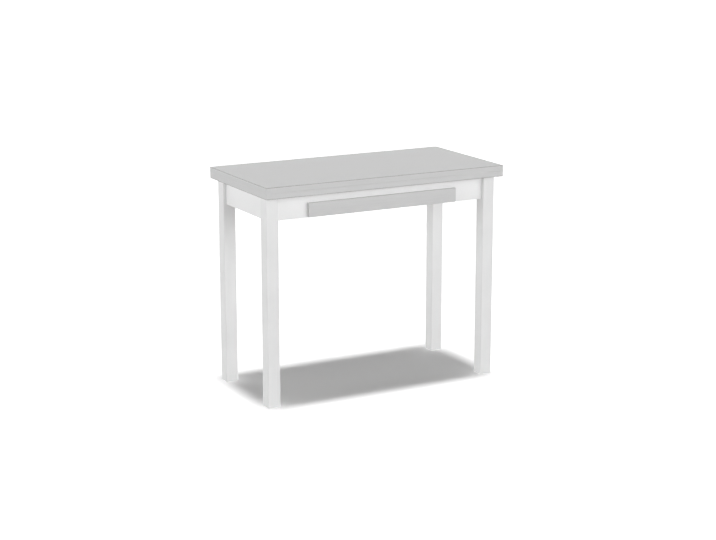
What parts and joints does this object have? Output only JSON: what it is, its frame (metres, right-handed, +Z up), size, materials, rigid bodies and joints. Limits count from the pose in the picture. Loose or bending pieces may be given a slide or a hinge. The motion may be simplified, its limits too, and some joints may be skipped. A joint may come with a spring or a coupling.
{
  "type": "folding kitchen table",
  "caption": "Rectangular kitchen table on square legs whose stacked double top turns on a swivel and unfolds like a book to double its area, with a drawer in the front apron.",
  "frame": {"origin": "on the floor, under the middle of the closed top", "axes": "+X along the closed top's length to the right, -Y towards the drawer's front, +Z up"},
  "size_m": [0.9, 0.453, 0.75],
  "materials": {
    "white_powder_coat": "satin white powder coat",
    "white_plastic": "moulded white plastic",
    "white_melamine": "chipboard faced and edged with white melamine",
    "zinc_steel": "bright zinc plated steel",
    "white_coated_steel": "white coated sheet steel",
    "black_painted_steel": "black painted steel",
    "nylon": "natural nylon",
    "plain_wood": "planed softwood",
    "drawer_board": "white foil wrapped board",
    "hardboard": "white lacquered hardboard",
    "chipboard": "raw chipboard",
    "grey_laminate": "matt pale grey high pressure laminate",
    "backing_laminate": "matt grey backing laminate",
    "grey_edging": "matt pale grey plastic edging",
    "soft_rubber": "soft grey rubber"
  },
  "bodies": {
    "frame": {"leg_front_left": "white_powder_coat", "leg_front_right": "white_powder_coat", "leg_back_left": "white_powder_coat", "leg_back_right": "white_powder_coat", "foot_plug_front_left": "white_plastic", "foot_plug_front_right": "white_plastic", "foot_plug_back_left": "white_plastic", "foot_plug_back_right": "white_plastic", "glide_caps": "white_plastic", "apron_front": "white_melamine", "apron_back": "white_melamine", "apron_left": "white_melamine", "apron_right": "white_melamine", "corner_brackets": "zinc_steel", "bracket_bolts": "zinc_steel", "wood_screws": "zinc_steel", "batten_brackets": "zinc_steel", "runner_batten_left": "plain_wood", "runner_batten_right": "plain_wood", "runner_channel_left": "white_coated_steel", "runner_channel_right": "white_coated_steel", "channel_rivets": "zinc_steel", "pivot_rail": "black_painted_steel", "pivot_bush": "nylon", "stop_pin": "zinc_steel"},
    "lower_top": {"lower_leaf_laminate_under": "backing_laminate", "lower_leaf_core": "chipboard", "lower_leaf_laminate_inner": "grey_laminate", "lower_leaf_edging": "grey_edging", "hinge_plates_lower": "zinc_steel", "hinge_screws_lower": "zinc_steel", "hinge_pins": "zinc_steel", "pivot_plate": "zinc_steel", "pivot_plate_screws": "zinc_steel", "pivot_washer": "zinc_steel", "pivot_nut": "zinc_steel"},
    "upper_top": {"upper_leaf_laminate_top": "grey_laminate", "upper_leaf_core": "chipboard", "upper_leaf_laminate_inner": "grey_laminate", "upper_leaf_edging": "grey_edging", "hinge_plates_upper": "zinc_steel", "hinge_screws_upper": "zinc_steel", "leaf_bumpers": "soft_rubber"},
    "drawer": {"drawer_front_laminate": "grey_laminate", "drawer_front_core": "chipboard", "drawer_front_edging": "grey_edging", "drawer_back": "drawer_board", "drawer_bottom": "hardboard", "drawer_side_left": "drawer_board", "drawer_side_right": "drawer_board", "drawer_dowels": "plain_wood", "drawer_runner_left": "white_coated_steel", "drawer_runner_right": "white_coated_steel", "runner_rivets": "zinc_steel", "drawer_screws": "zinc_steel"},
    "channel_roller_left": {"channel_roller_left": "nylon"},
    "channel_roller_right": {"channel_roller_right": "nylon"},
    "drawer_roller_left": {"drawer_roller_left": "nylon"},
    "drawer_roller_right": {"drawer_roller_right": "nylon"}
  },
  "joints": [
    {"name": "top_turn", "type": "hinge", "parent": "frame", "child": "lower_top", "pos_m": [0.1125, 0.1125, 0.707], "axis": [0, 0, 1], "range_deg": [0, 90]},
    {"name": "leaf_fold", "type": "hinge", "parent": "lower_top", "child": "upper_top", "pos_m": [0, 0.225, 0.731], "axis": [-1, 0, 0], "range_deg": [0, 180]},
    {"name": "drawer_slide", "type": "slide", "parent": "frame", "child": "drawer", "axis": [0, -1, 0], "range_m": [0, 0.23]},
    {"name": "channel_roller_left_spin", "type": "hinge", "parent": "frame", "child": "channel_roller_left", "pos_m": [-0.26855, -0.148, 0.6524], "axis": [1, 0, 0], "range_deg": [0, 1648]},
    {"name": "drawer_roller_left_spin", "type": "hinge", "parent": "drawer", "child": "drawer_roller_left", "pos_m": [-0.26595, 0.1277, 0.6501], "axis": [1, 0, 0], "range_deg": [0, 1648]},
    {"name": "channel_roller_right_spin", "type": "hinge", "parent": "frame", "child": "channel_roller_right", "pos_m": [0.26855, -0.148, 0.6524], "axis": [1, 0, 0], "range_deg": [0, 1648]},
    {"name": "drawer_roller_right_spin", "type": "hinge", "parent": "drawer", "child": "drawer_roller_right", "pos_m": [0.26595, 0.1277, 0.6501], "axis": [1, 0, 0], "range_deg": [0, 1648]}
  ],
  "couplings": [
    {"joint": "channel_roller_left_spin", "follows": "drawer_slide", "rad_per_m": 125},
    {"joint": "drawer_roller_left_spin", "follows": "drawer_slide", "rad_per_m": 125},
    {"joint": "channel_roller_right_spin", "follows": "drawer_slide", "rad_per_m": 125},
    {"joint": "drawer_roller_right_spin", "follows": "drawer_slide", "rad_per_m": 125}
  ]
}
